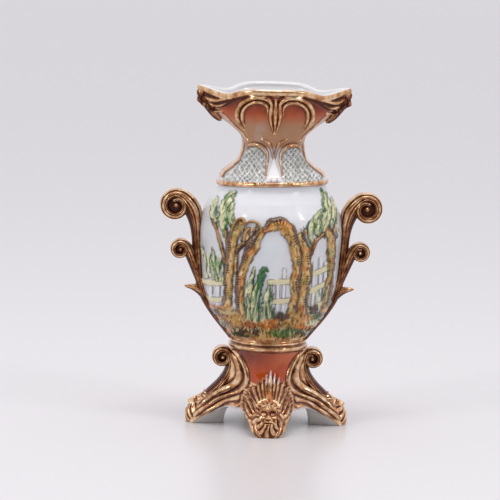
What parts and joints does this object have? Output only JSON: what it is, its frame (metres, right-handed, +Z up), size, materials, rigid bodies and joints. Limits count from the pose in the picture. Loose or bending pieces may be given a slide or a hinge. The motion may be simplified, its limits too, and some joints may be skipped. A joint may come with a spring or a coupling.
{
  "type": "vase",
  "caption": "Ornamental ceramic vase with flared mouth, waisted neck, scroll handles, raised tree landscape and a spreading footed base with masks.",
  "frame": {"origin": "floor under the middle of the foot", "axes": "+Z up the axis of the vessel; +X towards one handle; -Y is the front, with the painted relief"},
  "size_m": [0.236, 0.1724, 0.361],
  "materials": {
    "white_glaze": "glossy",
    "gold_lustre": "glossy brown-gold lustre",
    "orange_glaze": "glossy",
    "painted_relief": "hand-painted under a gloss glaze"
  },
  "bodies": {
    "root": {"vase": "white_glaze"}
  },
  "joints": []
}
